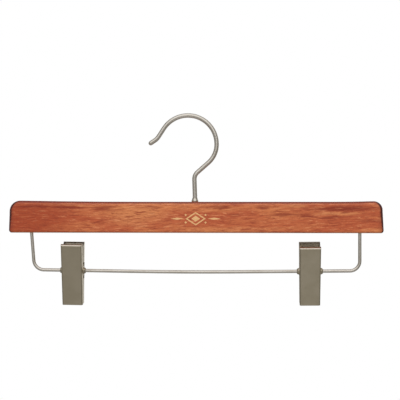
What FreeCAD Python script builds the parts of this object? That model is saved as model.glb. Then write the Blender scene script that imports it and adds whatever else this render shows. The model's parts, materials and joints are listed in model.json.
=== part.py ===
"""Trouser hanger: a wooden bar on a swivelling wire hook, with a drop wire that carries two spring clips.

Units are millimetres. +X runs along the bar to the right, +Y to its back and +Z up.
The origin is the rail seat: the highest point of the inside of the hook's bow, where a rail carries it.
Each node is one real piece, written to parts/NODE.step.
"""
import FreeCAD, Part

import math
import os

Vector = FreeCAD.Vector
X_AXIS = Vector(1, 0, 0)
Y_AXIS = Vector(0, 1, 0)
Z_AXIS = Vector(0, 0, 1)

# Hook: one bent wire. Heights are above the bar's top.
HOOK_WIRE_D = 4.3
BOW_R = 27.45           # centreline of the round bow
BOW_RISE = 54.75        # bow centre above the bar's top
SHANK_OFFSET = 6.8      # the shank stands this far right of the bow's centre
LEAN_RISE = 5.3         # above the ferrule the shank leans a little to the left
LEAN_BEND_R = 100.0
LEAN = 0.6              # how far it has leaned at its knee
KNEE_RISE = 25.4        # corner between the shank and the slanting run
KNEE_R = 8.5
SLANT_DEG = 41.4        # how steeply the slanting run climbs
LOWER_BOW_R = 23.0      # the bow is tighter where the slanting run joins it
BOW_END_DEG = 147.0     # where the bow ends, counted round from +X
MOUTH_RUN = 8.8         # straight run after the bow
MOUTH_R = 13.7          # reverse bend that opens the mouth
MOUTH_TURN_DEG = 23.8
TIP_RUN = 4.3           # straight run before the domed tip
THREAD_D = 4.0
HOOK_CLEARANCE = 0.15   # round the shank, where the bar turns about it

# Wooden bar.
BAR_LENGTH = 355.8      # along its bottom edge
BAR_HEIGHT = 29.5
BAR_DEPTH = 12.7
BAR_OFFSET = -0.1       # the bar's middle, from the hook's shank
LEFT_SLOPE_DEG = 0.9    # each end leans in towards the top
RIGHT_SLOPE_DEG = 2.4
LEFT_CORNER_R = 10.3    # at the top; the lower corners are tighter
RIGHT_CORNER_R = 8.4
BOTTOM_CORNER_R = 2.6
TOP_EDGE_R = 3.2        # along the upper edges of the front and back faces
BOTTOM_EDGE_R = 1.9     # and along their lower edges
LEFT_RISE = 1.3         # the hand-sanded top edge climbs this much to the left end
LEFT_RISE_FROM = 50.0
RIGHT_RISE = 0.85
RIGHT_RISE_FROM = 130.0

# Hook fastening inside the bar.
FERRULE_SLEEVE_D = 5.6
FERRULE_SLEEVE_L = 11.0
FERRULE_BASE_D = 6.2
FERRULE_BAND_H = 1.5
FERRULE_NECK_D = 5.0
FERRULE_RISE = 3.8
COUNTERBORE_D = 8.8
COUNTERBORE_DEPTH = 12.0
WASHER_D = 8.0
WASHER_T = 0.8
NUT_FLATS = 6.8
NUT_H = 3.2
SHANK_PAST_NUT = 1.0

# Drop wire: a U of wire, its two ends driven into the bar's underside. It sags a little towards its middle.
DROP_WIRE_D = 3.2
DROP = 37.6             # where the lines of the two straight runs meet, below the bar
RUNS_MEET_X = -9.5      # and that far from the hook's shank
LEFT_FALL_DEG = 0.76    # each run falls this much towards the middle
RIGHT_FALL_DEG = 0.66
MIDDLE_BEND_R = 4040.0
LEFT_LEG_X = -157.1     # each leg, where it enters the bar, from the hook's shank
RIGHT_LEG_X = 155.9
LEFT_LEG_LEAN_DEG = 4.5
LEFT_BEND_R = 9.8
RIGHT_BEND_R = 9.4
LEG_IN_BAR = 14.0
DRIVEN_FIT = 0.02       # radial room round parts that are pressed into the bar

# Clip: two sheet steel jaws on a hollow rivet.
SHEET_T = 0.8
BEND_R = 1.4            # outside of the sheet's bends
JAW_UP = 27.0           # from the pivot to the top end, along the plate
JAW_DOWN = 32.1         # from the pivot to the gripping end
PIVOT_DEPTH = 8.4       # from the plate's outer face to the pivot
JAW_LEAN_DEG = 5.2      # each plate leans away from the clip's middle plane
JAW_TOP_W = 19.9
JAW_BOTTOM_W = 19.4
LIP_DEPTH = 4.2         # inward lip along the top end
TOP_WALL_DEPTH = 7.3    # side wall just under the lip
UPPER_WALL_DEPTH = 7.0  # side wall just above the ear
LOWER_WALL_DEPTH = 6.5  # side wall just below the ear
TIP_WALL_DEPTH = 5.1    # side wall at the gripping end
EAR_R = 4.6
EAR_HALF_H = 7.6        # where the side walls meet the ear
BOSS_D = 9.0
BOSS_X = 10.1           # outer face of the pressed boss round the rivet
REAR_EAR_X = 8.75       # outer face of the rear jaw's ear, inside the front jaw's
REAR_EAR_R = 4.2
RIVET_HOLE_D = 5.0

# Hollow rivet, with the drop wire running through it.
RIVET_D = 4.8
RIVET_BORE_D = 3.8
RIVET_HEAD_D = 6.2
RIVET_HEAD_END_D = 4.5
RIVET_HALF_L = 12.2
RIVET_HEAD_GAP = 0.1

# Torsion spring round the rivet.
SPRING_WIRE_D = 1.1
SPRING_R = 3.35         # centreline of the coil
SPRING_PITCH = 1.2
SPRING_TURNS = 7
SPRING_LEG_Z = 17.0     # height at which each leg presses its jaw
SPRING_LEG_GAP = 0.06

# Rubber grip pads.
PAD_HALF_W = 8.2
PAD_H = 13.0
PAD_GAP = 0.12          # from each pad's face to the clip's middle plane
PAD_GROOVE = 0.7
PAD_GROOVES = 5

# Where the clips stand on the drop wire, and how each has swung on it.
LEFT_CLIP_X = -117.0    # pivot, from the hook's shank
RIGHT_CLIP_X = 108.9
LEFT_CLIP_TILT_DEG = 7.0
RIGHT_CLIP_TILT_DEG = 15.6

# Levels and axes that follow from the sizes above.
BOW_Z = -(BOW_R - HOOK_WIRE_D / 2)
BAR_TOP_Z = BOW_Z - BOW_RISE
BAR_BOTTOM_Z = BAR_TOP_Z - BAR_HEIGHT
SHANK_X = SHANK_OFFSET
SHOULDER_Z = BAR_BOTTOM_Z + COUNTERBORE_DEPTH
WASHER_TOP_Z = SHOULDER_Z - HOOK_CLEARANCE
NUT_TOP_Z = WASHER_TOP_Z - WASHER_T
SHANK_END_Z = NUT_TOP_Z - NUT_H - SHANK_PAST_NUT
BAR_X = SHANK_X + BAR_OFFSET
RUNS_MEET = Vector(SHANK_X + RUNS_MEET_X, 0, BAR_BOTTOM_Z - DROP)
JAW_LEAN = math.radians(JAW_LEAN_DEG)
PAST = 1.0              # how far a cutting tool runs past a face


def in_plane(x, z):
    """A point of the hanger's middle plane."""
    return Vector(x, 0, z)


def along(angle, length):
    """A step of that length in the middle plane, at an angle counted from +X towards +Z."""
    return Vector(length * math.cos(angle), 0, length * math.sin(angle))


def cylinder(diameter, start, direction, length):
    return Part.makeCylinder(diameter / 2, length, start, direction)


def swept_wire(diameter, edges):
    """A round wire along a path of edges."""
    path = Part.Wire(edges)
    first = edges[0]
    start = first.valueAt(first.FirstParameter)
    direction = first.tangentAt(first.FirstParameter)
    section = Part.Wire(Part.Circle(start, direction, diameter / 2).toShape())
    return path.makePipeShell([section], True, False)


def arc_edge(centre, radius, from_angle, to_angle):
    """An arc in the middle plane, drawn from one angle to the other."""
    a, b, c = (
        centre + along(angle, radius)
        for angle in (from_angle, (from_angle + to_angle) / 2, to_angle)
    )
    return Part.Arc(a, b, c).toShape()


def rounded_corner(before, corner, after, radius):
    """The ends of the arc that rounds a corner, and the arc itself."""
    to_before = (before - corner).normalize()
    to_after = (after - corner).normalize()
    half = to_before.getAngle(to_after) / 2
    start = corner + to_before * (radius / math.tan(half))
    end = corner + to_after * (radius / math.tan(half))
    inward = (to_before + to_after).normalize()
    middle = corner + inward * (radius / math.sin(half) - radius)
    return start, end, Part.Arc(start, middle, end).toShape()


def bent_run(corners, radii):
    """The edges of a wire's run through corners, each rounded by its own radius."""
    edges = []
    reached = corners[0]
    for before, corner, after, radius in zip(corners, corners[1:], corners[2:], radii):
        start, end, arc = rounded_corner(before, corner, after, radius)
        edges += [Part.LineSegment(reached, start).toShape(), arc]
        reached = end
    edges.append(Part.LineSegment(reached, corners[-1]).toShape())
    return edges


# ---------------------------------------------------------------- hook


def make_hook():
    """Shank, knee, slanting run, round bow, and a mouth that opens outwards to a domed tip."""
    foot = in_plane(SHANK_X, SHANK_END_Z)
    shoulder = in_plane(SHANK_X, SHOULDER_Z)
    lean_start = in_plane(SHANK_X, BAR_TOP_Z + LEAN_RISE)
    knee = in_plane(SHANK_X - LEAN, BAR_TOP_Z + KNEE_RISE)
    bow = in_plane(0, BOW_Z)
    slant = math.radians(SLANT_DEG)
    square = slant + math.pi / 2
    to_bow = bow - knee
    inward = to_bow.dot(along(square, 1)) - LOWER_BOW_R
    ahead = math.sqrt((BOW_R - LOWER_BOW_R) ** 2 - inward**2)
    touch = knee + along(slant, to_bow.dot(along(slant, 1)) + ahead)
    lower_centre = touch + along(square, LOWER_BOW_R)
    join = math.atan2(lower_centre.z - bow.z, lower_centre.x - bow.x)
    lower_arc = arc_edge(lower_centre, LOWER_BOW_R, slant - math.pi / 2, join)

    bow_end = math.radians(BOW_END_DEG)
    bow_arc = arc_edge(bow, BOW_R, join, bow_end)
    leaving = bow_end + math.pi / 2
    bow_stop = bow + along(bow_end, BOW_R)
    mouth_start = bow_stop + along(leaving, MOUTH_RUN)
    turn = math.radians(MOUTH_TURN_DEG)
    mouth_centre = mouth_start + along(leaving - math.pi / 2, MOUTH_R)
    mouth_arc = arc_edge(mouth_centre, MOUTH_R, leaving + math.pi / 2, leaving + math.pi / 2 - turn)
    mouth_end = mouth_centre + along(leaving + math.pi / 2 - turn, MOUTH_R)
    tip = mouth_end + along(leaving - turn, TIP_RUN)

    wire = swept_wire(
        HOOK_WIRE_D,
        [
            *bent_run([shoulder, lean_start, knee, touch], [LEAN_BEND_R, KNEE_R]),
            lower_arc,
            bow_arc,
            Part.LineSegment(bow_stop, mouth_start).toShape(),
            mouth_arc,
            Part.LineSegment(mouth_end, tip).toShape(),
        ],
    )
    dome = Part.makeSphere(HOOK_WIRE_D / 2, tip)
    thread = cylinder(THREAD_D, foot, Z_AXIS, SHOULDER_Z - SHANK_END_Z)
    thread = thread.makeChamfer(0.5, [e for e in thread.Edges if e.BoundBox.ZMax < SHANK_END_Z + 0.1])
    return wire.fuse([dome, thread]).removeSplitter()


def make_ferrule():
    """Turned collar on the bar's top, with a sleeve that lines the hook's hole."""
    bore = HOOK_WIRE_D / 2 + HOOK_CLEARANCE
    base = FERRULE_BASE_D / 2
    neck = FERRULE_NECK_D / 2
    sleeve = FERRULE_SLEEVE_D / 2
    band_top = BAR_TOP_Z + FERRULE_BAND_H
    top = BAR_TOP_Z + FERRULE_RISE
    waist = Vector(neck + 0.12, 0, band_top + 1.1)
    foot = BAR_TOP_Z - FERRULE_SLEEVE_L
    band_middle = in_plane(base + 0.15, (BAR_TOP_Z + band_top) / 2)
    edges = [
        Part.LineSegment(in_plane(bore, foot), in_plane(sleeve, foot)),
        Part.LineSegment(in_plane(sleeve, foot), in_plane(sleeve, BAR_TOP_Z)),
        Part.LineSegment(in_plane(sleeve, BAR_TOP_Z), in_plane(base, BAR_TOP_Z)),
        Part.Arc(in_plane(base, BAR_TOP_Z), band_middle, in_plane(base, band_top)),
        Part.Arc(in_plane(base, band_top), waist, in_plane(neck, top)),
        Part.LineSegment(in_plane(neck, top), in_plane(bore, top)),
        Part.LineSegment(in_plane(bore, top), in_plane(bore, foot)),
    ]
    half_section = Part.Face(Part.Wire([e.toShape() for e in edges]))
    ferrule = half_section.revolve(Vector(0, 0, 0), Z_AXIS, 360)
    return ferrule.translated(Vector(SHANK_X, 0, 0))


def make_hook_washer():
    start = in_plane(SHANK_X, NUT_TOP_Z)
    disc = cylinder(WASHER_D, start, Z_AXIS, WASHER_T)
    return disc.cut(cylinder(THREAD_D + 0.3, start, Z_AXIS, WASHER_T))


def make_hook_nut():
    """Hexagonal nut, its corners turned off, on the hook's threaded end."""
    bottom = NUT_TOP_Z - NUT_H
    corner_r = NUT_FLATS / math.sqrt(3)
    corners = [
        Vector(SHANK_X + corner_r * math.cos(k * math.pi / 3), corner_r * math.sin(k * math.pi / 3), bottom)
        for k in range(7)
    ]
    prism = Part.Face(Part.makePolygon(corners)).extrude(Vector(0, 0, NUT_H))
    turned = Part.makeCone(corner_r + NUT_H, NUT_FLATS / 2 + 0.1, NUT_H + corner_r - NUT_FLATS / 2 - 0.1)
    turned.rotate(Vector(0, 0, 0), X_AXIS, 180)
    turned.translate(Vector(SHANK_X, 0, NUT_TOP_Z + corner_r - NUT_FLATS / 2 - 0.1))
    bored = prism.cut(cylinder(THREAD_D + 2 * DRIVEN_FIT, in_plane(SHANK_X, bottom), Z_AXIS, NUT_H))
    return bored.common(turned)


# ---------------------------------------------------------------- bar and drop wire


def left_run_z(x):
    """Height of the drop wire's left run, or of its line, at x."""
    return RUNS_MEET.z + (RUNS_MEET.x - x) * math.tan(math.radians(LEFT_FALL_DEG))


def right_run_z(x):
    return RUNS_MEET.z + (x - RUNS_MEET.x) * math.tan(math.radians(RIGHT_FALL_DEG))


def drop_wire_corners():
    """The corners of the drop wire's path, from the end in the bar at the left to the one at the right."""
    lean = math.tan(math.radians(LEFT_LEG_LEAN_DEG))
    fall = math.tan(math.radians(LEFT_FALL_DEG))
    left, right = SHANK_X + LEFT_LEG_X, SHANK_X + RIGHT_LEG_X
    left_corner_x = left + lean * (BAR_BOTTOM_Z - left_run_z(left)) / (1 - lean * fall)
    return [
        in_plane(left - LEG_IN_BAR * lean, BAR_BOTTOM_Z + LEG_IN_BAR),
        in_plane(left_corner_x, left_run_z(left_corner_x)),
        RUNS_MEET,
        in_plane(right, right_run_z(right)),
        in_plane(right, BAR_BOTTOM_Z + LEG_IN_BAR),
    ]


def make_drop_wire():
    return swept_wire(DROP_WIRE_D, bent_run(drop_wire_corners(), [LEFT_BEND_R, MIDDLE_BEND_R, RIGHT_BEND_R]))


def bar_outline():
    """The bar's front view with sharp corners, at y 0. Its top edge climbs a little towards both ends."""
    half = BAR_LENGTH / 2
    left_slope = math.tan(math.radians(LEFT_SLOPE_DEG))
    right_slope = math.tan(math.radians(RIGHT_SLOPE_DEG))

    def point(x, z):
        return Vector(BAR_X + x, 0, BAR_TOP_Z + z)

    bottom_left, bottom_right = point(-half, -BAR_HEIGHT), point(half, -BAR_HEIGHT)
    top_left = point(-half + left_slope * (BAR_HEIGHT + LEFT_RISE), LEFT_RISE)
    top_right = point(half - right_slope * (BAR_HEIGHT + RIGHT_RISE), RIGHT_RISE)
    flat_left, flat_right = point(-LEFT_RISE_FROM, 0), point(RIGHT_RISE_FROM, 0)

    def climb(flat, end):
        """A shallow arc that leaves the flat stretch level."""
        middle = Vector((flat.x + end.x) / 2, 0, flat.z + (end.z - flat.z) / 4)
        return Part.Arc(flat, middle, end).toShape()

    return Part.Wire(
        [
            Part.LineSegment(bottom_left, bottom_right).toShape(),
            Part.LineSegment(bottom_right, top_right).toShape(),
            climb(flat_right, top_right),
            Part.LineSegment(flat_right, flat_left).toShape(),
            climb(flat_left, top_left),
            Part.LineSegment(top_left, bottom_left).toShape(),
        ]
    )


def corner_edges(solid, side, upper):
    """The edge along Y at one of the bar's corners. The side is -1 at the left and 1 at the right."""
    found = []
    for edge in solid.Edges:
        box = edge.BoundBox
        at_end = side * (box.XMin - BAR_X) > 0.45 * BAR_LENGTH
        along_y = box.XLength < 0.01 and box.ZLength < 0.01
        if at_end and along_y and (box.ZMin > BAR_TOP_Z - 1) == upper:
            found.append(edge)
    return found


def round_face_edges(solid):
    """Rounds the edges of the front and back faces: fuller above, tighter below, changing along the ends."""
    document = FreeCAD.newDocument("bar")
    base = document.addObject("Part::Feature", "base")
    base.Shape = solid
    fillet = document.addObject("Part::Fillet", "fillet")
    fillet.Base = base

    def radius(point):
        return TOP_EDGE_R if point.z > BAR_TOP_Z - BAR_HEIGHT / 2 else BOTTOM_EDGE_R

    chosen = []
    for number, edge in enumerate(base.Shape.Edges, start=1):
        box = edge.BoundBox
        if box.YLength < 0.01 and abs(abs(box.YMin) - BAR_DEPTH / 2) < 0.01:
            first, last = edge.valueAt(edge.FirstParameter), edge.valueAt(edge.LastParameter)
            chosen.append((number, radius(first), radius(last)))
    fillet.Edges = chosen
    document.recompute()
    return fillet.Shape


def make_wooden_bar():
    bar = Part.Face(bar_outline()).extrude(Vector(0, BAR_DEPTH, 0)).translated(Vector(0, -BAR_DEPTH / 2, 0))
    for side, top_corner_r in ((-1, LEFT_CORNER_R), (1, RIGHT_CORNER_R)):
        bar = bar.makeFillet(top_corner_r, corner_edges(bar, side, upper=True))
        bar = bar.makeFillet(BOTTOM_CORNER_R, corner_edges(bar, side, upper=False))
    bar = round_face_edges(bar)
    sleeve_hole = cylinder(
        FERRULE_SLEEVE_D + 2 * DRIVEN_FIT,
        in_plane(SHANK_X, BAR_TOP_Z - FERRULE_SLEEVE_L - DRIVEN_FIT),
        Z_AXIS,
        FERRULE_SLEEVE_L + PAST,
    )
    under = in_plane(SHANK_X, BAR_BOTTOM_Z - PAST)
    shank_hole = cylinder(HOOK_WIRE_D + 2 * HOOK_CLEARANCE, under, Z_AXIS, BAR_HEIGHT + 2 * PAST)
    counterbore = cylinder(COUNTERBORE_D, under, Z_AXIS, COUNTERBORE_DEPTH + PAST)
    left_end, left_corner, _, right_corner, right_end = drop_wire_corners()
    leg_holes = []
    for end, corner in ((left_end, left_corner), (right_end, right_corner)):
        out = (corner - end).normalize()
        leg_holes.append(
            cylinder(DROP_WIRE_D + 2 * DRIVEN_FIT, end - out * DRIVEN_FIT, out, LEG_IN_BAR + 2 * PAST)
        )
    return bar.cut([sleeve_hole, shank_hole, counterbore, *leg_holes])


# ---------------------------------------------------------------- clip
# A clip's pieces are made about its pivot: the pivot runs along X through the origin, and the front is -Y.
# A jaw is first made flat on: outer face at y 0, pivot at y PIVOT_DEPTH, and the sheet's walls towards +Y.


def jaw_half_width(z):
    """Half the jaw's outside width, which tapers from the top end to the gripping end."""
    share = (z + JAW_DOWN) / (JAW_UP + JAW_DOWN)
    return (JAW_BOTTOM_W + share * (JAW_TOP_W - JAW_BOTTOM_W)) / 2


def trough_section(z, inset, depth, corner_r):
    """A section across the jaw at height z: square at the open side, rounded at the sheet's two bends."""
    half = jaw_half_width(z) - inset
    back = Vector(-half, depth, z)
    left_bend, right_bend = Vector(-half, inset, z), Vector(half, inset, z)
    other_back = Vector(half, depth, z)
    left_in, left_out, left_arc = rounded_corner(back, left_bend, right_bend, corner_r)
    right_in, right_out, right_arc = rounded_corner(left_bend, right_bend, other_back, corner_r)
    return Part.Wire(
        [
            Part.LineSegment(back, left_in).toShape(),
            left_arc,
            Part.LineSegment(left_out, right_in).toShape(),
            right_arc,
            Part.LineSegment(right_out, other_back).toShape(),
            Part.LineSegment(other_back, back).toShape(),
        ]
    )


def trough(bottom_z, top_z, inset, depth, corner_r):
    sections = [trough_section(z, inset, depth, corner_r) for z in (bottom_z, top_z)]
    return Part.makeLoft(sections, True, True)


def side_slab(points, half_width):
    """A slab across the jaw, whose side view has these corners, given as depth and height."""
    corners = [Vector(-half_width, y, z) for y, z in points]
    face = Part.Face(Part.makePolygon(corners + corners[:1]))
    return face.extrude(Vector(2 * half_width, 0, 0))


def pivot_disc(diameter, from_x, to_x):
    """A disc about the pivot of a jaw that is still flat on."""
    return cylinder(diameter, Vector(from_x, PIVOT_DEPTH, 0), X_AXIS, to_x - from_x)


def bent_sheet(side_view):
    """The jaw's sheet: a tray with side walls and a top lip, whose walls have that side view."""
    wide = JAW_TOP_W
    outer = trough(-JAW_DOWN, JAW_UP, 0, PIVOT_DEPTH + 2 * EAR_R, BEND_R)
    inside_r = BEND_R - SHEET_T + 0.1
    inner = trough(-JAW_DOWN - PAST, JAW_UP - SHEET_T, SHEET_T, PIVOT_DEPTH + 3 * EAR_R, inside_r)
    top_edge = Part.makeBox(2 * wide, BEND_R, BEND_R, Vector(-wide, 0, JAW_UP - BEND_R))
    top_round = cylinder(2 * BEND_R, Vector(-wide, BEND_R, JAW_UP - BEND_R), X_AXIS, 2 * wide)
    return outer.common(side_view).cut(inner).cut(top_edge.cut(top_round))


def wall_outline(above_ear, below_ear):
    """Side view of a jaw's walls as depth and height, with the points between the upper and lower walls."""
    return [
        (0, -JAW_DOWN),
        (TIP_WALL_DEPTH, -JAW_DOWN),
        *below_ear,
        *above_ear,
        (TOP_WALL_DEPTH, JAW_UP - TOP_WALL_DEPTH + LIP_DEPTH),
        (LIP_DEPTH, JAW_UP),
        (0, JAW_UP),
    ]


def make_front_plate():
    """Front jaw: its side walls swell into ears outside the rear jaw's, with a boss round each rivet hole."""
    walls = wall_outline([(UPPER_WALL_DEPTH, EAR_HALF_H)], [(LOWER_WALL_DEPTH, -EAR_HALF_H)])
    wide = JAW_TOP_W
    neck = [
        (LOWER_WALL_DEPTH, -EAR_HALF_H),
        (PIVOT_DEPTH, -EAR_R),
        (PIVOT_DEPTH, EAR_R),
        (UPPER_WALL_DEPTH, EAR_HALF_H),
        (0, EAR_HALF_H),
        (0, -EAR_HALF_H),
    ]
    view = side_slab(walls, wide).fuse([side_slab(neck, wide), pivot_disc(2 * EAR_R, -wide, wide)])
    plate = bent_sheet(view)
    inside = jaw_half_width(0) - SHEET_T
    bosses = [pivot_disc(BOSS_D, -BOSS_X, -inside - 0.2), pivot_disc(BOSS_D, inside + 0.2, BOSS_X)]
    plate = plate.fuse(bosses).cut(pivot_disc(RIVET_HOLE_D, -wide, wide))
    return set_jaw(plate.removeSplitter())


def make_rear_plate():
    """Rear jaw: its side walls stop short of the pivot, and narrower ears stand inside the front jaw's."""
    shallow = 2 * SHEET_T
    above_ear = [(shallow, EAR_HALF_H), (UPPER_WALL_DEPTH, EAR_HALF_H)]
    below_ear = [(LOWER_WALL_DEPTH, -EAR_HALF_H), (shallow, -EAR_HALF_H)]
    walls = wall_outline(above_ear, below_ear)
    sheet = bent_sheet(side_slab(walls, JAW_TOP_W))
    ear_view = side_slab(
        [
            (SHEET_T / 2, -EAR_HALF_H + 1),
            (PIVOT_DEPTH, -REAR_EAR_R),
            (PIVOT_DEPTH, REAR_EAR_R),
            (SHEET_T / 2, EAR_HALF_H - 1),
        ],
        REAR_EAR_X,
    ).fuse(pivot_disc(2 * REAR_EAR_R, -REAR_EAR_X, REAR_EAR_X))
    between = REAR_EAR_X - SHEET_T
    room = Part.makeBox(2 * between, 2 * JAW_UP, 2 * JAW_UP, Vector(-between, SHEET_T / 2, -JAW_UP))
    plate = sheet.fuse(ear_view.cut(room)).cut(pivot_disc(RIVET_HOLE_D, -JAW_TOP_W, JAW_TOP_W))
    return set_jaw(plate.removeSplitter()).mirror(Vector(0, 0, 0), Y_AXIS)


def set_jaw(plate):
    """Brings a jaw that is flat on to its place about the pivot, leaning out at the top."""
    placed = plate.translated(Vector(0, -PIVOT_DEPTH, 0))
    placed.rotate(Vector(0, 0, 0), X_AXIS, JAW_LEAN_DEG)
    return placed


def on_front_sheet(depth, z):
    """Where a point of the flat-on jaw, given as depth and height, lies in the set front jaw's side view."""
    y = depth - PIVOT_DEPTH
    return (
        y * math.cos(JAW_LEAN) - z * math.sin(JAW_LEAN),
        y * math.sin(JAW_LEAN) + z * math.cos(JAW_LEAN),
    )


def make_front_pad():
    """Rubber wedge that fills the front jaw's gripping end up to the middle plane, grooved across."""
    low = on_front_sheet(SHEET_T, -JAW_DOWN)
    high = on_front_sheet(SHEET_T, -JAW_DOWN + PAD_H)
    face = -PAD_GAP
    step = (high[1] - low[1]) / (2 * PAD_GROOVES + 1)
    points = [low, (face, low[1])]
    for k in range(PAD_GROOVES):
        foot = low[1] + (2 * k + 1) * step
        points += [
            (face, foot),
            (face - PAD_GROOVE, foot + step / 4),
            (face - PAD_GROOVE, foot + 3 * step / 4),
            (face, foot + step),
        ]
    points += [(face, high[1]), high]
    return side_slab(points, PAD_HALF_W)


def make_rivet():
    """Hollow rivet with a rounded head at each end."""
    bore = RIVET_BORE_D / 2
    body = RIVET_D / 2
    head = RIVET_HEAD_D / 2
    end = RIVET_HEAD_END_D / 2
    head_x = BOSS_X + RIVET_HEAD_GAP
    bulge = Vector((head_x + RIVET_HALF_L) / 2 + 0.1, (head + end) / 2 + 0.2, 0)

    def half(side):
        """One end's outline, from the middle to its bore."""
        points = [Vector(0, body, 0), Vector(head_x, body, 0), Vector(head_x, head, 0)]
        edges = [Part.LineSegment(p, q) for p, q in zip(points, points[1:])]
        tip, mouth = Vector(RIVET_HALF_L, end, 0), Vector(RIVET_HALF_L, bore, 0)
        edges += [
            Part.Arc(points[-1], bulge, tip),
            Part.LineSegment(tip, mouth),
            Part.LineSegment(mouth, Vector(0, bore, 0)),
            Part.LineSegment(Vector(0, bore, 0), points[0]),
        ]
        solid = Part.Face(Part.Wire([e.toShape() for e in edges])).revolve(Vector(0, 0, 0), X_AXIS, 360)
        return solid if side > 0 else solid.mirror(Vector(0, 0, 0), X_AXIS)

    return half(1).fuse(half(-1)).removeSplitter()


def make_spring():
    """Torsion spring round the rivet. Each leg leaves the coil on its own side and presses that jaw's top."""
    wire_r = SPRING_WIRE_D / 2
    touch_y, touch_z = on_front_sheet(SHEET_T + wire_r + SPRING_LEG_GAP, SPRING_LEG_Z)
    away = math.hypot(touch_y, touch_z)
    leg = math.sqrt(away**2 - SPRING_R**2)
    # Angle of the leg's far end from straight up, and of the tangent that reaches it.
    lean = math.atan2(-touch_y, touch_z) - math.asin(SPRING_R / away)
    turns = SPRING_TURNS - 0.5 - lean / math.pi
    height = SPRING_PITCH * turns
    coil_path = Part.makeHelix(SPRING_PITCH, height, SPRING_R)
    rise = SPRING_PITCH / (2 * math.pi * SPRING_R)
    climb = math.atan(rise)

    def leg_from(angle, x, sign):
        """A leg tangent to the coil: sign -1 at the coil's start, 1 at its end."""
        start = Vector(x, SPRING_R * math.cos(angle), SPRING_R * math.sin(angle))
        level = math.cos(climb)
        direction = Vector(math.sin(climb), -math.sin(angle) * level, math.cos(angle) * level)
        return cylinder(SPRING_WIRE_D, start, direction * sign, leg / level)

    first = math.pi + lean
    turn_to_x = FreeCAD.Matrix(
        0, 0, 1, -height / 2,
        math.cos(first), -math.sin(first), 0, 0,
        math.sin(first), math.cos(first), 0, 0,
        0, 0, 0, 1,
    )
    section = Part.Wire(
        Part.Circle(Vector(SPRING_R, 0, 0), Vector(0, math.cos(climb), math.sin(climb)), wire_r).toShape()
    )
    coil = Part.Wire(coil_path).makePipeShell([section], True, True)
    coil = coil.transformGeometry(turn_to_x)
    last = first + 2 * math.pi * turns
    return coil.fuse([leg_from(first, -height / 2, -1), leg_from(last, height / 2, 1)])


def make_clip():
    """The pieces of one clip about its pivot, by name."""
    front_pad = make_front_pad()
    return {
        "front_plate": make_front_plate(),
        "rear_plate": make_rear_plate(),
        "pivot_rivet": make_rivet(),
        "torsion_spring": make_spring(),
        "front_grip_pad": front_pad,
        "rear_grip_pad": front_pad.mirror(Vector(0, 0, 0), Y_AXIS),
    }


def set_clip(piece, pivot, fall, tilt):
    """A clip's piece in its place: swung by tilt, on a run of wire that falls to the right by fall."""
    placed = piece.copy()
    placed.rotate(Vector(0, 0, 0), X_AXIS, tilt)
    placed.rotate(Vector(0, 0, 0), Y_AXIS, fall)
    placed.translate(pivot)
    return placed


# ---------------------------------------------------------------- all pieces


def all_pieces():
    pieces = {
        "hook": make_hook(),
        "hook_ferrule": make_ferrule(),
        "hook_washer": make_hook_washer(),
        "hook_nut": make_hook_nut(),
        "wooden_bar": make_wooden_bar(),
        "drop_wire": make_drop_wire(),
    }
    left_x, right_x = SHANK_X + LEFT_CLIP_X, SHANK_X + RIGHT_CLIP_X
    left_pivot, right_pivot = in_plane(left_x, left_run_z(left_x)), in_plane(right_x, right_run_z(right_x))
    for name, piece in make_clip().items():
        pieces[f"left_{name}"] = set_clip(piece, left_pivot, LEFT_FALL_DEG, LEFT_CLIP_TILT_DEG)
        pieces[f"right_{name}"] = set_clip(piece, right_pivot, -RIGHT_FALL_DEG, RIGHT_CLIP_TILT_DEG)
    return pieces


os.makedirs("parts", exist_ok=True)
for node, shape in all_pieces().items():
    if not shape.isValid() or len(shape.Solids) != 1 or shape.Volume <= 0:
        raise ValueError(f"{node} is not one sound solid")
    shape.exportStep(f"parts/{node}.step")
    print(f"{node}: {shape.Volume:.1f} mm3")
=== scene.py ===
"""Looks of the trouser hanger: stained and lacquered wood, satin nickel wire and sheet, rubber grips.

Metres, in the CAD's own frame: +X along the bar to the right, +Y to its back, +Z up.
"""

import json
import math

import bmesh
import bpy
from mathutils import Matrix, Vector


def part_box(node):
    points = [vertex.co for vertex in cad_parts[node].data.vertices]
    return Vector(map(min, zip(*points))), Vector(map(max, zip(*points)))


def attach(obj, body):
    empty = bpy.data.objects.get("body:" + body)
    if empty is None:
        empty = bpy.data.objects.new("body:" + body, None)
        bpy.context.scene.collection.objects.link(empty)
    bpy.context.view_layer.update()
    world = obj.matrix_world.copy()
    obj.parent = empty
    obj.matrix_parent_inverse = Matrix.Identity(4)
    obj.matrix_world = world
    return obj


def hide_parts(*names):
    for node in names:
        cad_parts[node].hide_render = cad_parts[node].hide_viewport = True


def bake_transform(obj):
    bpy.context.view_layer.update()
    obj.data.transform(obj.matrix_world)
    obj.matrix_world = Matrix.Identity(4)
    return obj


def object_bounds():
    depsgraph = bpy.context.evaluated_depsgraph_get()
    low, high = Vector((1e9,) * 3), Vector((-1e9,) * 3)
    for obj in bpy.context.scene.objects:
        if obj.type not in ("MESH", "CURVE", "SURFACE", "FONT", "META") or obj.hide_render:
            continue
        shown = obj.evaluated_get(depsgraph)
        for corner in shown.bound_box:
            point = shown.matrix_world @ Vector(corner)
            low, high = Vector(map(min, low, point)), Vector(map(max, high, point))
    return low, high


MM = 0.001
SIDES = ("left", "right")

SLEEVE_LENGTH = 11.0 * MM  # from the ferrule's lower end up to the bar's top

# The foil mark's middle, to the right of the hook's shank and below the bar's top, and how proud it stands.
MARK_RIGHT = 1.0 * MM
MARK_DROP = 16.0 * MM
MARK_PROUD = 0.04 * MM

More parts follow.
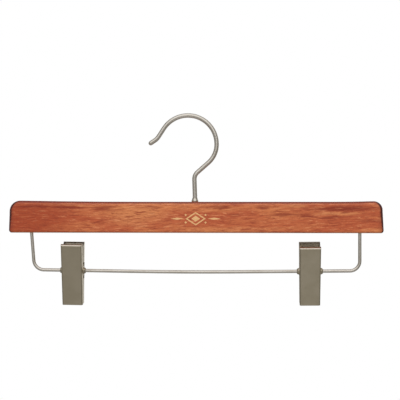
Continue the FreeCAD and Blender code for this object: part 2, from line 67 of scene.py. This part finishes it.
# The camera is a few degrees to the right of the front, and its lens and sensor are in millimetres. It aims
# at a point to the right of the shank and above the bar's top.
CAMERA_AZIMUTH = 3.05
CAMERA_DISTANCE = 0.970
CAMERA_LENS = 91.7
CAMERA_SENSOR = 36.0
AIM_RIGHT = 4.8 * MM
AIM_RISE = 1.7 * MM

FLOOR_DROP = 0.45          # from the hanger's lowest point to the studio's floor

# ---------------------------------------------------------------- colours


def srgb(red, green, blue):
    """A display colour, each part from 0 to 255, as a linear one with alpha."""

    def linear(part):
        share = part / 255
        return share / 12.92 if share <= 0.04045 else ((share + 0.055) / 1.055) ** 2.4

    return (linear(red), linear(green), linear(blue), 1.0)


WHITE = (1, 1, 1, 1)
BLACK = (0, 0, 0, 1)
WARM_WHITE = (1.0, 0.975, 0.89, 1)

WOOD = srgb(192, 93, 54)
WOOD_LIGHT = srgb(216, 127, 76)
WOOD_PALE_AND_HIGHLIGHT = srgb(222, 142, 88)
WOOD_DEEP = srgb(168, 66, 32)
STREAK_DARK = srgb(150, 58, 31)
STREAK_LIGHT = srgb(236, 156, 106)
FIGURE_DARK = srgb(142, 50, 24)
FIBRE_DARK = srgb(146, 58, 32)
PORE_DARK = srgb(104, 38, 22)
STAIN_NEAR_END = srgb(120, 40, 28)
# Painted light on the bar's rims: paler lower edges, and painted shade on the upper edges and the rounded
# end edges.
PAINTED_LOWER_EDGE_LIGHT = srgb(226, 150, 104)
PAINTED_UPPER_EDGE_SHADE = srgb(112, 38, 26)
PAINTED_END_EDGE_SHADE = srgb(66, 25, 24)
STAIN_END_GRAIN = srgb(132, 44, 28)

# Each metal has a clean colour and a worn one.
NICKEL_WIRE = (srgb(238, 232, 224), srgb(230, 223, 213))
NICKEL_SHEET = (srgb(202, 191, 170), srgb(195, 184, 162))
BRIGHT_NICKEL = (srgb(232, 226, 216), srgb(224, 216, 204))
ZINC_PLATE = (srgb(196, 200, 204), srgb(182, 184, 184))
SPRING_STEEL = (srgb(168, 168, 168), srgb(148, 146, 142))
# Painted highlight on the front plates' top bends.
PAINTED_SHEET_EDGE_HIGHLIGHT = srgb(250, 242, 232)
# Painted shade on the rear plates' top lips.
PAINTED_SHEET_EDGE_SHADE = srgb(112, 104, 94)
# Painted light on the rear plates' inner and side faces.
PAINTED_SHEET_INSIDE_LIGHT = srgb(244, 237, 224)

FOIL = srgb(246, 196, 138)
FOIL_THIN = srgb(214, 142, 92)
RUBBER = srgb(38, 37, 36)
RUBBER_DUSTY = srgb(66, 64, 61)

# ---------------------------------------------------------------- node helpers


class Nodes:
    """Short calls for building a node tree."""

    def __init__(self, tree):
        self.tree = tree
        tree.nodes.clear()

    def fill(self, socket, value):
        """Links the socket to the value where that is a socket itself, and sets it otherwise."""
        if isinstance(value, bpy.types.NodeSocket):
            self.tree.links.new(value, socket)
        else:
            socket.default_value = value

    def add(self, kind, inputs=(), **settings):
        node = self.tree.nodes.new(kind)
        for name, value in settings.items():
            setattr(node, name, value)
        for socket, value in dict(inputs).items():
            self.fill(node.inputs[socket], value)
        return node

    def math(self, operation, *values):
        return self.add("ShaderNodeMath", dict(enumerate(values)), operation=operation).outputs[0]

    def vector(self, operation, *values):
        node = self.add("ShaderNodeVectorMath", dict(enumerate(values)), operation=operation)
        return node.outputs["Value" if operation in ("DOT_PRODUCT", "LENGTH") else "Vector"]

    def parts(self, vector):
        """The vector's X, Y and Z."""
        return self.add("ShaderNodeSeparateXYZ", {0: vector}).outputs

    def span(self, value, low, high, to_low=0.0, to_high=1.0):
        """Takes low..high smoothly to to_low..to_high, and holds outside."""
        inputs = {"Value": value, "From Min": low, "From Max": high, "To Min": to_low, "To Max": to_high}
        return self.add("ShaderNodeMapRange", inputs, interpolation_type="SMOOTHSTEP").outputs[0]

    def mix(self, factor, first, second):
        """The first colour where the factor is 0, and the second where it is 1."""
        node = self.add("ShaderNodeMix", {0: factor}, data_type="RGBA")
        self.fill(node.inputs[6], first)
        self.fill(node.inputs[7], second)
        return node.outputs[2]

    def noise(self, coords, size, detail=3.0, roughness=0.5):
        """Noise whose features have about that size, in the units of the coordinates."""
        inputs = {"Vector": coords, "Scale": 1 / size, "Detail": detail, "Roughness": roughness}
        return self.add("ShaderNodeTexNoise", inputs).outputs["Fac"]

    def grain(self, coords, length, width, detail=3.0, roughness=0.5):
        """Noise drawn out along X, whose features are about that long and that wide."""
        inputs = {"Vector": coords, "Scale": (1 / length, 1 / width, 1 / width)}
        return self.noise(self.add("ShaderNodeMapping", inputs).outputs[0], 1.0, detail, roughness)


def new_material(name):
    """A material with its node builder, its texture coordinates and its surface shader."""
    material = bpy.data.materials.new(name)
    material.use_nodes = True
    nodes = Nodes(material.node_tree)
    shader = nodes.add("ShaderNodeBsdfPrincipled")
    output = nodes.add("ShaderNodeOutputMaterial")
    material.node_tree.links.new(shader.outputs[0], output.inputs[0])
    coords = nodes.add("ShaderNodeTexCoord").outputs
    return material, nodes, coords, shader


def finish_surface(nodes, shader, values):
    """Fills the shader's named inputs."""
    for name, value in values.items():
        nodes.fill(shader.inputs[name], value)


def bump(nodes, height, depth, strength, below=None):
    """Raises the surface by up to depth metres where height is 1, on top of the relief below it."""
    inputs = {"Height": height, "Distance": depth, "Strength": strength}
    if below is not None:
        inputs["Normal"] = below
    return nodes.add("ShaderNodeBump", inputs).outputs[0]


# ---------------------------------------------------------------- wood

# The figure of the wood on the bar's front, with one pale strip that is a painted highlight: each patch is a
# middle, in millimetres to the right of the hook's shank and above the bar's top, then half its length, half
# its height, and how strong it is.
DARK_FIGURE = (
    (-153, -5.2, 20, 1.5, 1.0),
    (-120, -4.9, 21, 1.8, 1.0),
    (-87, -6.5, 12, 3.2, 0.8),
    (-42, -5.5, 8, 1.7, 0.5),
    (24, -5.5, 13, 1.8, 0.75),
    (38, -12, 8, 1.6, 0.5),
    (64, -6, 8, 2.4, 0.6),
    (84, -12.6, 13, 1.9, 0.85),
    (107, -13.6, 10, 1.6, 0.9),
    (128, -14.8, 11, 1.4, 0.8),
    (139, -6.8, 36, 2.6, 1.0),
    (165, -18, 14, 1.5, 0.7),
)
PALE_FIGURE_AND_HIGHLIGHT = (
    (-56, -13, 34, 11, 0.55),
    # A painted highlight: a pale strip along the rounded top edge at the left.
    (-132, -2.4, 44, 1.0, 0.7),
    (96, -4.5, 12, 2.2, 0.6),
    (134, -11.2, 26, 2.0, 0.7),
    (30, -26, 60, 3.0, 0.45),
)

LAYER_LEAN = 0.5           # how far the growth layers drop, per metre into the bar
WANDER_ALONG = 22 * MM     # how far the pattern wanders along the grain
WANDER_ACROSS = 3.4 * MM   # and across it
WAVE_HEIGHT = 5 * MM       # how high its long waves are
DEEP_FROM = 80 * MM        # to the left of the shank, where the stain starts to deepen
DEEP_FULL = 160 * MM       # and where it is at its deepest
END_STAIN = 7 * MM         # length over which the stain deepens at each end


def wood_figure(nodes, place, patches, shank, bar_top):
    """How strongly the patches cover each point: ragged ones, drawn out along the grain."""
    total = None
    for along, height, half_length, half_height, strength in patches:
        middle = (shank.x + along * MM, 0.0, bar_top + height * MM)
        away = nodes.vector("SUBTRACT", place, middle)
        share = nodes.vector("MULTIPLY", away, (1 / (half_length * MM), 0.0, 1 / (half_height * MM)))
        cover = nodes.span(nodes.vector("LENGTH", share), 1.25, 0.35, 0.0, strength)
        total = cover if total is None else nodes.math("MAXIMUM", total, cover)
    return total


def growth_layers(nodes, place, bar_low):
    """Coordinates that follow the growth layers, which lean across the bar's thickness, and wander."""

    def drift(noise, reach):
        """A shift of up to half the reach either way, from a noise that is 0.5 on average."""
        return nodes.math("MULTIPLY", nodes.math("SUBTRACT", noise, 0.5), reach)

    depth = nodes.math("SUBTRACT", nodes.parts(place)[1], bar_low.y)
    wander = nodes.grain(place, 14 * MM, 4 * MM, 4.0, 0.65)
    wave = nodes.grain(place, 70 * MM, 20 * MM, 2.0)
    shift_z = nodes.math("ADD", drift(wander, WANDER_ACROSS), drift(wave, WAVE_HEIGHT))
    shift_z = nodes.math("ADD", shift_z, nodes.math("MULTIPLY", depth, LAYER_LEAN))
    shift = {"X": drift(wander, WANDER_ALONG), "Z": shift_z}
    return nodes.vector("ADD", place, nodes.add("ShaderNodeCombineXYZ", shift).outputs[0])


def rim_stain_and_painted_light(nodes, colour, coords, bar_low, bar_high):
    """Deepens the colour near the ends and on the end grain; paints shade on the rounded end edges and on
    the upper edges, less on the flat top.

    The lower edges get painted light: they are made paler.
    """
    x = nodes.parts(coords["Object"])[0]
    near_left = nodes.span(x, bar_low.x + END_STAIN, bar_low.x, 0.0, 0.55)
    near_right = nodes.span(x, bar_high.x - END_STAIN, bar_high.x, 0.0, 0.55)
    colour = nodes.mix(nodes.math("MAXIMUM", near_left, near_right), colour, STAIN_NEAR_END)

    normal = nodes.parts(coords["Normal"])
    # Painted light: the downward-facing lower edges are made paler.
    colour = nodes.mix(nodes.span(normal[2], -0.50, -0.85, 0.0, 0.9), colour, PAINTED_LOWER_EDGE_LIGHT)
    # Painted shade: the upper edges are darkened, and the flat top more weakly.
    upper_edge_painted_shade = nodes.span(normal[2], 0.24, 0.70)
    strength = nodes.span(normal[2], 0.97, 0.998, 0.9, 0.5)
    colour = nodes.mix(nodes.math("MULTIPLY", upper_edge_painted_shade, strength), colour, PAINTED_UPPER_EDGE_SHADE)
    # Painted shade on the rounded end edges, blending into the end grain's own darker stain.
    sideways = nodes.math("ABSOLUTE", normal[0])
    end_shade_and_grain = nodes.mix(nodes.span(sideways, 0.66, 0.95), PAINTED_END_EDGE_SHADE, STAIN_END_GRAIN)
    return nodes.mix(nodes.span(sideways, 0.06, 0.42, 0.0, 0.95), colour, end_shade_and_grain)


def stained_wood(shank, bar_top, bar_low, bar_high):
    """Reddish mahogany stain under satin lacquer, with the grain along X."""
    material, nodes, coords, shader = new_material("stained_wood")
    place = coords["Object"]
    layers = growth_layers(nodes, place, bar_low)

    tone = nodes.grain(layers, 60 * MM, 10 * MM, 3.0, 0.55)
    streak = nodes.grain(layers, 13 * MM, 1.3 * MM, 5.0, 0.70)
    fibre = nodes.grain(layers, 5 * MM, 0.6 * MM, 3.0, 0.6)
    pores = nodes.span(nodes.grain(place, 4 * MM, 0.24 * MM, 2.0), 0.60, 0.72)
    dark = wood_figure(nodes, layers, DARK_FIGURE, shank, bar_top)
    pale = wood_figure(nodes, layers, PALE_FIGURE_AND_HIGHLIGHT, shank, bar_top)
    left = nodes.span(nodes.parts(place)[0], shank.x - DEEP_FROM, shank.x - DEEP_FULL)

    colour = nodes.mix(nodes.span(tone, 0.35, 0.65), WOOD, WOOD_LIGHT)
    # Pale figure, and a painted highlight along the top edge at the left.
    colour = nodes.mix(pale, colour, WOOD_PALE_AND_HIGHLIGHT)
    colour = nodes.mix(nodes.math("MULTIPLY", left, 0.85), colour, WOOD_DEEP)
    colour = nodes.mix(nodes.span(streak, 0.50, 0.66, 0.0, 0.8), colour, STREAK_DARK)
    light_streak = nodes.span(streak, 0.47, 0.33, 0.0, 0.75)
    light_share = nodes.math("MULTIPLY", light_streak, nodes.span(left, 0.0, 1.0, 1.0, 0.5))
    colour = nodes.mix(light_share, colour, STREAK_LIGHT)
    dark_share = nodes.math("MULTIPLY", dark, nodes.span(streak, 0.30, 0.52, 0.45, 1.0))
    colour = nodes.mix(dark_share, colour, FIGURE_DARK)
    colour = nodes.mix(nodes.span(fibre, 0.50, 0.70, 0.0, 0.5), colour, FIBRE_DARK)
    colour = nodes.mix(nodes.math("MULTIPLY", pores, 0.5), colour, PORE_DARK)

    relief = bump(nodes, nodes.math("SUBTRACT", 1.0, pores), 0.03 * MM, 0.6)
    finish_surface(nodes, shader, {
        "Base Color": rim_stain_and_painted_light(nodes, colour, coords, bar_low, bar_high),
        "Roughness": nodes.span(fibre, 0.2, 0.8, 0.40, 0.52),
        "Normal": bump(nodes, streak, 0.05 * MM, 0.5, relief),
        "Specular IOR Level": 0.25,
        "Coat Weight": 0.6,
        "Coat Roughness": 0.22,
    })
    return material


# ---------------------------------------------------------------- metal, foil, rubber and paper

SATIN_DEPTH = 0.004 * MM
POLISHED_DEPTH = 0.001 * MM


def satin_metal(name, colours, roughness, grain_depth=SATIN_DEPTH, upper=None, inner=None):
    """Plated metal with a fine satin grain, faint smears and a slight drift in its colour.

    Its upper edges can be given a painted highlight or painted shade, and its faces towards the front and
    the sides painted light.
    """
    material, nodes, coords, shader = new_material(name)
    place = coords["Object"]
    drift = nodes.noise(place, 18 * MM, 2.0)
    smear = nodes.noise(place, 4 * MM, 4.0, 0.6)
    satin = nodes.noise(place, 0.25 * MM, 3.0, 0.6)
    clean, worn = colours
    colour = nodes.mix(nodes.span(drift, 0.35, 0.65), clean, worn)
    normal = nodes.parts(coords["Normal"])
    # Painted light: faces towards the front and the sides are made paler.
    if inner:
        forward = nodes.span(normal[1], -0.5, -0.8)
        outward = nodes.span(nodes.math("ABSOLUTE", normal[0]), 0.5, 0.8)
        colour = nodes.mix(nodes.math("MAXIMUM", forward, outward), colour, inner)
    # A painted highlight or painted shade along the upper edges and bends.
    if upper:
        painted_edge_share = nodes.math("MULTIPLY", nodes.span(normal[2], 0.22, 0.50), nodes.span(normal[2], 0.97, 0.72))
        colour = nodes.mix(painted_edge_share, colour, upper)
    finish_surface(nodes, shader, {
        "Base Color": colour,
        "Roughness": nodes.span(smear, 0.3, 0.7, roughness - 0.04, roughness + 0.05),
        "Normal": bump(nodes, satin, grain_depth, 0.6),
        "Metallic": 1.0,
    })
    return material


def gold_foil():
    """Pale gold foil pressed into the grain, thin and a little broken where the wood is rough."""
    material, nodes, coords, shader = new_material("gold_foil")
    thin = nodes.grain(coords["Object"], 4 * MM, 0.6 * MM, 4.0, 0.65)
    finish_surface(nodes, shader, {
        "Base Color": nodes.mix(nodes.span(thin, 0.48, 0.70, 0.0, 0.7), FOIL, FOIL_THIN),
        "Roughness": nodes.span(thin, 0.3, 0.7, 0.42, 0.62),
        "Normal": bump(nodes, thin, 0.02 * MM, 0.6),
        "Metallic": 0.25,
        "Specular IOR Level": 0.4,
    })
    return material


def grip_rubber():
    """Dark rubber, finely pimpled and a little dusty."""
    material, nodes, coords, shader = new_material("grip_rubber")
    dust = nodes.noise(coords["Object"], 3 * MM, 4.0, 0.65)
    pimple = nodes.noise(coords["Object"], 0.3 * MM, 2.0)
    finish_surface(nodes, shader, {
        "Base Color": nodes.mix(nodes.span(dust, 0.4, 0.75), RUBBER, RUBBER_DUSTY),
        "Roughness": nodes.span(dust, 0.3, 0.7, 0.62, 0.78),
        "Normal": bump(nodes, pimple, 0.02 * MM, 0.6),
    })
    return material


def glowing_white():
    """Even white paper, lit to just white."""
    material, nodes, _, shader = new_material("backdrop_white")
    finish_surface(nodes, shader, {
        "Base Color": BLACK,
        "Specular IOR Level": 0.0,
        "Emission Color": WHITE,
        "Emission Strength": 1.0,
    })
    return material


def dress(frame, shank, bar_top, bar_low, bar_high):
    """Gives every CAD node its material: the plates by their names, and the others by the record's slots."""
    by_slot = {
        "stained_wood": stained_wood(shank, bar_top, bar_low, bar_high),
        "nickel_wire": satin_metal("nickel_wire", NICKEL_WIRE, 0.32),
        "nickel_sheet": satin_metal("nickel_sheet", NICKEL_SHEET, 0.38),
        "bright_nickel": satin_metal("bright_nickel", BRIGHT_NICKEL, 0.22, POLISHED_DEPTH),
        "zinc_plate": satin_metal("zinc_plate", ZINC_PLATE, 0.36),
        "spring_steel": satin_metal("spring_steel", SPRING_STEEL, 0.30),
        "grip_rubber": grip_rubber(),
    }
    # The front plates carry a painted highlight on their top bends; the rear plates painted shade on their
    # top lips and painted light on their inner and side faces.
    front_sheet_painted_highlight = satin_metal("front_sheet_painted_highlight", NICKEL_SHEET, 0.38, upper=PAINTED_SHEET_EDGE_HIGHLIGHT)
    rear_sheet_painted_shade_and_light = satin_metal("rear_sheet_painted_shade_and_light", NICKEL_SHEET, 0.38, upper=PAINTED_SHEET_EDGE_SHADE, inner=PAINTED_SHEET_INSIDE_LIGHT)
    by_name = {}
    for side in SIDES:
        by_name[side + "_front_plate"] = front_sheet_painted_highlight
        by_name[side + "_rear_plate"] = rear_sheet_painted_shade_and_light
    for part in frame["record"]["subparts"]:
        name = part["node"]
        materials = frame["nodes"][name].data.materials
        materials.clear()
        materials.append(by_name[name] if name in by_name else by_slot[part["material_slot"]])


# ---------------------------------------------------------------- springs


def make_springs(frame):
    """Copies the clips' torsion springs out of the CAD into objects of their own, and hides the CAD ones."""
    for side in SIDES:
        name = side + "_torsion_spring"
        node = frame["nodes"][name]
        spring = bpy.data.objects.new(side + "_winding_spring", node.data.copy())
        bpy.context.scene.collection.objects.link(spring)
        spring.matrix_world = node.matrix_world
        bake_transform(spring)
        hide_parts(name)


# ---------------------------------------------------------------- foil mark

# Half widths and half heights of the mark's lozenges, and where those beside the middle one are.
FRAME_OUTSIDE = (9.6 * MM, 6.4 * MM)
FRAME_INSIDE = (7.6 * MM, 5.07 * MM)
CORE = (4.2 * MM, 2.8 * MM)
RULE = (6.4 * MM, 1.0 * MM)
RULE_AWAY = 17.6 * MM
DOT = (1.15 * MM, 1.15 * MM)
DOT_AWAY = 9.4 * MM
DOT_RISE = 3.6 * MM


def add_lozenge(mesh, middle, front, size, hole=None):
    """A thin slab of foil, let into the face at front: a lozenge, or a frame of one if it has a hole."""
    face_y, back_y = front - MARK_PROUD, front + MARK_PROUD / 2

    def ring(half_width, half_height, y):
        corners = [(half_width, 0.0), (0.0, half_height), (-half_width, 0.0), (0.0, -half_height)]
        return [mesh.verts.new((middle[0] + x, y, middle[1] + z)) for x, z in corners]

    def walls(near, far):
        for k in range(len(near)):
            following = (k + 1) % len(near)
            mesh.faces.new((near[k], near[following], far[following], far[k]))

    outer_near, outer_far = ring(*size, face_y), ring(*size, back_y)
    walls(outer_near, outer_far)
    if hole:
        inner_near, inner_far = ring(*hole, face_y), ring(*hole, back_y)
        walls(inner_near, inner_far)
        walls(outer_near, inner_near)
        walls(outer_far, inner_far)
    else:
        mesh.faces.new(outer_near)
        mesh.faces.new(outer_far)


def make_foil_mark(middle, front):
    """A plain ornament in pale gold: a framed lozenge, with a tapered rule and two dots on each side."""
    mesh = bmesh.new()
    add_lozenge(mesh, middle, front, FRAME_OUTSIDE, FRAME_INSIDE)
    add_lozenge(mesh, middle, front, CORE)
    for side in (-1, 1):
        add_lozenge(mesh, (middle[0] + side * RULE_AWAY, middle[1]), front, RULE)
        for rise in (DOT_RISE, -DOT_RISE):
            add_lozenge(mesh, (middle[0] + side * DOT_AWAY, middle[1] + rise), front, DOT)
    bmesh.ops.recalc_face_normals(mesh, faces=mesh.faces)
    data = bpy.data.meshes.new("foil_mark")
    mesh.to_mesh(data)
    mesh.free()
    mark = bpy.data.objects.new("foil_mark", data)
    bpy.context.scene.collection.objects.link(mark)
    data.materials.append(gold_foil())
    return mark


# ---------------------------------------------------------------- stage

FLOOR_RADIUS = 1.6
SWEEP_RADIUS = 0.5
SWEEP_STEPS = 12
WALL_TOP = 3.0
WALL_SIDES = 96


def make_backdrop(centre, floor_z):
    """A round studio floor that sweeps up into a wall all round."""
    profile = [(0.0, 0.0), (FLOOR_RADIUS, 0.0)]
    for k in range(1, SWEEP_STEPS + 1):
        turn = math.pi / 2 * k / SWEEP_STEPS
        profile.append((FLOOR_RADIUS + SWEEP_RADIUS * math.sin(turn), SWEEP_RADIUS * (1 - math.cos(turn))))
    profile.append((FLOOR_RADIUS + SWEEP_RADIUS, WALL_TOP))
    verts, faces = [], []
    for radius, height in profile:
        for k in range(WALL_SIDES):
            angle = 2 * math.pi * k / WALL_SIDES
            x, y = centre.x + radius * math.cos(angle), centre.y + radius * math.sin(angle)
            verts.append((x, y, floor_z + height))
    for ring in range(len(profile) - 1):
        for k in range(WALL_SIDES):
            a, b = ring * WALL_SIDES + k, ring * WALL_SIDES + (k + 1) % WALL_SIDES
            faces.append((a, b, b + WALL_SIDES, a + WALL_SIDES))
    mesh = bpy.data.meshes.new("backdrop")
    mesh.from_pydata(verts, [], faces)
    mesh.polygons.foreach_set("use_smooth", [True] * len(faces))
    backdrop = bpy.data.objects.new("backdrop", mesh)
    bpy.context.scene.collection.objects.link(backdrop)
    mesh.materials.append(glowing_white())
    backdrop.visible_glossy = False
    backdrop.visible_diffuse = False
    backdrop.visible_shadow = False


def heading(azimuth, elevation):
    """The direction at that many degrees to the right of the front, and above the horizon."""
    turn, height = math.radians(azimuth), math.radians(elevation)
    return Vector((math.sin(turn) * math.cos(height), -math.cos(turn) * math.cos(height), math.sin(height)))


# Soft panels of light round the object: azimuth and elevation, how far from its middle each is still full
# and where it has faded to nothing, all in degrees, and its strength.
PANELS = (
    (0, 44, 30, 52, 0.74),
    (0, -50, 12, 40, 0.22),
    (-80, 0, 20, 50, 0.05),
    (160, 0, 14, 34, 0.50),
    (170, 40, 20, 60, 0.14),
)
AMBIENT_STRENGTH = 0.22


def make_world():
    """A grey studio with soft panels: a broad high one, a low one, a faint one at the left, two behind."""
    world = bpy.data.worlds.new("studio")
    world.use_nodes = True
    bpy.context.scene.world = world
    nodes = Nodes(world.node_tree)
    direction = nodes.add("ShaderNodeTexCoord").outputs["Generated"]
    ambient = {"Color": WARM_WHITE, "Strength": AMBIENT_STRENGTH}
    light = nodes.add("ShaderNodeBackground", ambient).outputs[0]
    for azimuth, elevation, full, faded, strength in PANELS:
        towards = nodes.vector("DOT_PRODUCT", direction, heading(azimuth, elevation))
        outer, inner = math.cos(math.radians(faded)), math.cos(math.radians(full))
        share = nodes.span(towards, outer, inner, 0.0, strength)
        panel = nodes.add("ShaderNodeBackground", {"Color": WHITE, "Strength": share}).outputs[0]
        light = nodes.add("ShaderNodeAddShader", {0: light, 1: panel}).outputs[0]
    output = nodes.add("ShaderNodeOutputWorld")
    world.node_tree.links.new(light, output.inputs[0])


# Area lights: name, place from the camera's target, and power in watts.
SOFTBOXES = (
    ("back", (0.5, 1.6, 0.8), 9.0),
    ("key", (-0.15, -1.6, 1.1), 20.5),
)
SOFTBOX_WIDTH = 1.4
SOFTBOX_HEIGHT = 1.0


def aim(thing, place, target):
    """Puts a light or the camera at the place, looking at the target."""
    thing.location = place
    thing.rotation_euler = (target - thing.location).to_track_quat("-Z", "Y").to_euler()


def make_softboxes(target):
    """The area lights, which are left out of reflections: the panels show there instead."""
    for name, offset, power in SOFTBOXES:
        data = bpy.data.lights.new(name, "AREA")
        data.shape = "RECTANGLE"
        data.size, data.size_y = SOFTBOX_WIDTH, SOFTBOX_HEIGHT
        data.energy = power
        light = bpy.data.objects.new(name, data)
        light.visible_glossy = False
        bpy.context.scene.collection.objects.link(light)
        aim(light, target + Vector(offset), target)


def make_camera(target):
    """Level with its target, which is a little above the top of the bar."""
    data = bpy.data.cameras.new("camera")
    data.lens = CAMERA_LENS
    data.sensor_width = CAMERA_SENSOR
    camera = bpy.data.objects.new("camera", data)
    bpy.context.scene.collection.objects.link(camera)
    aim(camera, target + CAMERA_DISTANCE * heading(CAMERA_AZIMUTH, 0), target)
    bpy.context.scene.camera = camera


# ---------------------------------------------------------------- the scene

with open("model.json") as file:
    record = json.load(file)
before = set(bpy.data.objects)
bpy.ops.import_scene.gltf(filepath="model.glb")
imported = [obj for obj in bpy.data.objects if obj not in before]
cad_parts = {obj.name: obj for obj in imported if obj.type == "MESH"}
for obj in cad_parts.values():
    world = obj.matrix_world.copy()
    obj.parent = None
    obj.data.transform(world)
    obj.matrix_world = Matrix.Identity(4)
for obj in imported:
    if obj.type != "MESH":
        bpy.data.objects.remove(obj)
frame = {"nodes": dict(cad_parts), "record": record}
cad_low, cad_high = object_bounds()

ferrule_low, ferrule_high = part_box("hook_ferrule")
shank = (ferrule_low + ferrule_high) / 2
bar_top = ferrule_low.z + SLEEVE_LENGTH
bar_low, bar_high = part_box("wooden_bar")
dress(frame, shank, bar_top, bar_low, bar_high)

make_springs(frame)
mark = make_foil_mark((shank.x + MARK_RIGHT, bar_top - MARK_DROP), bar_low.y)
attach(mark, "bar")

target = Vector((shank.x + AIM_RIGHT, 0, bar_top + AIM_RISE))
make_camera(target)
make_world()
make_softboxes(target)
make_backdrop(target, cad_low.z - FLOOR_DROP)
bpy.context.scene.view_settings.view_transform = "Standard"
